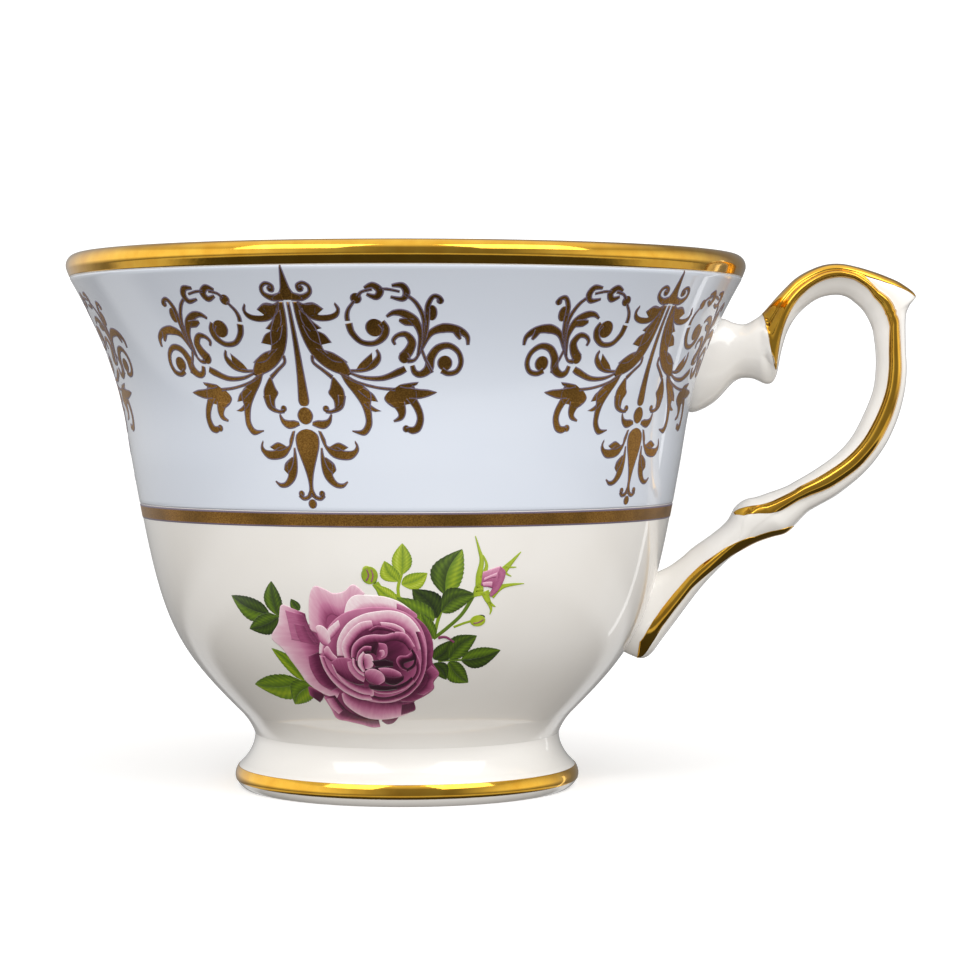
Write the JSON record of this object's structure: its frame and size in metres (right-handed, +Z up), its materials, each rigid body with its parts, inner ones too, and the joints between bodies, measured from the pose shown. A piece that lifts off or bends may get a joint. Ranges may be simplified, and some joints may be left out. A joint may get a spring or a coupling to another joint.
{
  "type": "teacup",
  "caption": "Footed china teacup with a flared lip, scrolled handle, pale blue band, gold scroll prints, rose spray and gilded edges.",
  "frame": {"origin": "centre of the foot ring on the table plane", "axes": "+Z up along the axis of the bowl, +X from the axis towards the handle, -Y towards the rose spray"},
  "size_m": [0.1191, 0.0952, 0.0746],
  "materials": {
    "bone_china": "clear gloss glaze over white bone china",
    "slip": "fired casting slip under the glaze",
    "blue_enamel": "pale blue fired ground, gloss",
    "bright_gold": "burnished liquid bright gold",
    "matt_gold": "printed dull bronze gold, finely grained",
    "rose_enamel": "fired colour print of a rose spray, gloss"
  },
  "bodies": {
    "root": {"bowl": "bone_china", "foot": "bone_china", "foot_slip_joint": "slip", "handle": "bone_china", "handle_slip_upper": "slip", "handle_slip_lower": "slip", "blue_ground": "blue_enamel", "rim_gilding": "bright_gold", "waist_gilding": "matt_gold", "foot_gilding": "bright_gold", "handle_gilding_crest": "bright_gold", "handle_gilding_near": "bright_gold", "handle_gilding_far": "bright_gold", "handle_gilding_lower_near": "bright_gold", "handle_gilding_lower_far": "bright_gold", "scroll_transfer_1": "matt_gold", "scroll_transfer_2": "matt_gold", "scroll_transfer_3": "matt_gold", "scroll_transfer_4": "matt_gold", "scroll_transfer_5": "matt_gold", "rose_transfer": "rose_enamel"}
  },
  "joints": []
}
